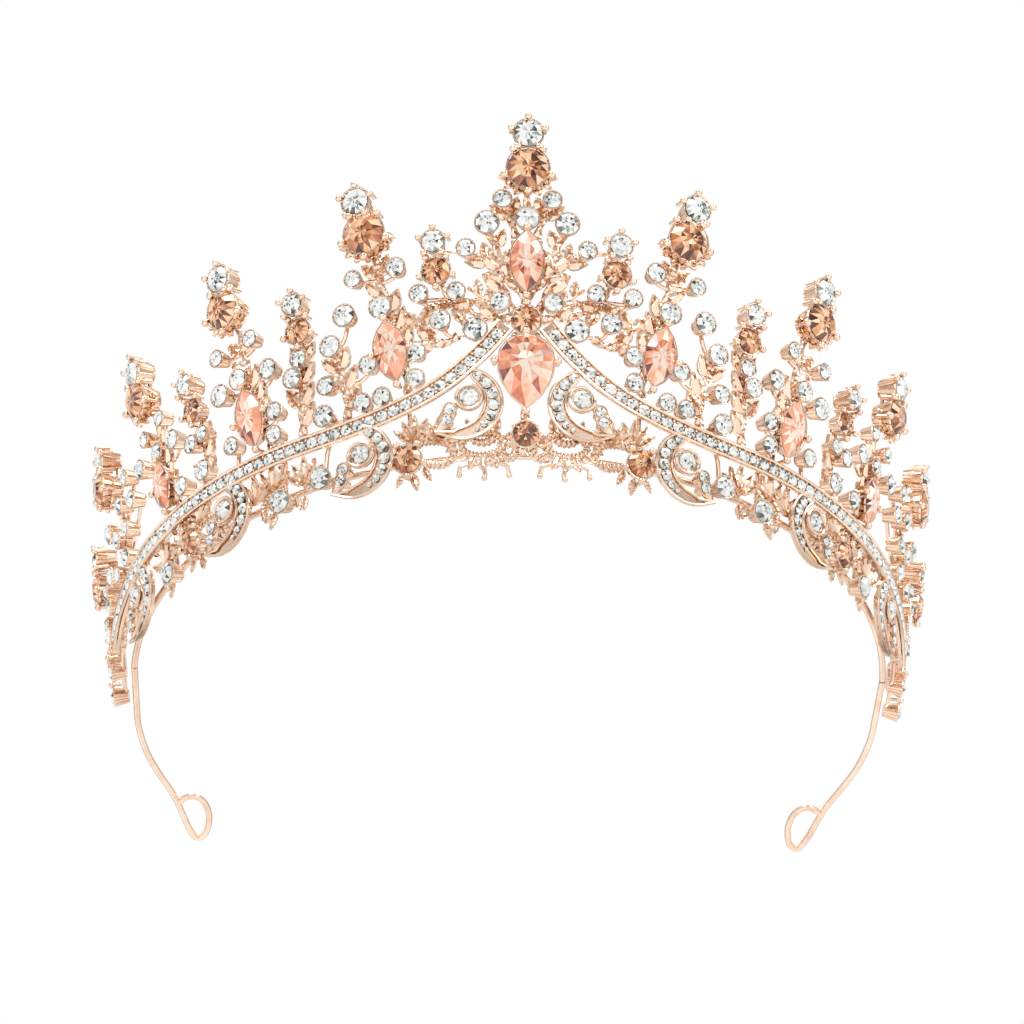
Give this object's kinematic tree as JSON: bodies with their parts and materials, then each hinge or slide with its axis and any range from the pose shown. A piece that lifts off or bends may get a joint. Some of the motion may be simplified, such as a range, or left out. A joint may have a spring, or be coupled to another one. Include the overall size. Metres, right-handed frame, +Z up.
{
  "type": "bridal tiara",
  "caption": "Open bridal tiara: a leaning comb of leaf sprays, scrolls and set stones on a wire headband that ends in two loops.",
  "frame": {"origin": "on the ground, under the middle of the tiara's outline", "axes": "+Z up, the middle of the comb towards -Y, the right side as seen from the front towards +X, the loops towards +Y; the headband lies level"},
  "size_m": [0.1626, 0.1552, 0.0665],
  "materials": {
    "rose_gold": "polished rose-gold plating over a cast alloy",
    "clear_stone": "faceted foil-backed glass",
    "amber_stone": "faceted foil-backed glass",
    "peach_stone": "faceted foil-backed glass"
  },
  "bodies": {
    "root": {"amber_crown": "amber_stone", "amber_large_1_left": "amber_stone", "amber_large_1_right": "amber_stone", "amber_large_2_left": "amber_stone", "amber_large_2_right": "amber_stone", "amber_large_3_left": "amber_stone", "amber_large_3_right": "amber_stone", "amber_large_4_left": "amber_stone", "amber_large_4_right": "amber_stone", "amber_large_5_left": "amber_stone", "amber_large_5_right": "amber_stone", "amber_low_1_left": "amber_stone", "amber_low_1_right": "amber_stone", "amber_low_2_left": "amber_stone", "amber_low_2_right": "amber_stone", "amber_over_pear": "amber_stone", "amber_small_a_left": "amber_stone", "amber_small_a_right": "amber_stone", "amber_small_b_left": "amber_stone", "amber_small_b_right": "amber_stone", "amber_small_c_left": "amber_stone", "amber_small_c_right": "amber_stone", "amber_under_pear": "amber_stone", "centre_casting": "rose_gold", "clear_crown_tip": "clear_stone", "clear_tip_1_left": "clear_stone", "clear_tip_1_right": "clear_stone", "clear_tip_2_left": "clear_stone", "clear_tip_2_right": "clear_stone", "crescent_a_left": "rose_gold", "crescent_a_right": "rose_gold", "crescent_b_left": "rose_gold", "crescent_b_right": "rose_gold", "crescent_c_left": "rose_gold", "crescent_c_right": "rose_gold", "crescent_d_left": "rose_gold", "crescent_d_right": "rose_gold", "headband_arm_left": "rose_gold", "headband_arm_right": "rose_gold", "headband_front": "rose_gold", "marquise_1_left": "peach_stone", "marquise_1_right": "peach_stone", "marquise_2_left": "peach_stone", "marquise_2_right": "peach_stone", "marquise_3_left": "peach_stone", "marquise_3_right": "peach_stone", "marquise_4_left": "peach_stone", "marquise_4_right": "peach_stone", "marquise_centre": "peach_stone", "pave_rail_left": "rose_gold", "pave_rail_right": "rose_gold", "pear_centre": "peach_stone", "spray_1_left": "rose_gold", "spray_1_right": "rose_gold", "spray_2_left": "rose_gold", "spray_2_right": "rose_gold", "spray_3_left": "rose_gold", "spray_3_right": "rose_gold", "spray_4_left": "rose_gold", "spray_4_right": "rose_gold"}
  },
  "joints": []
}
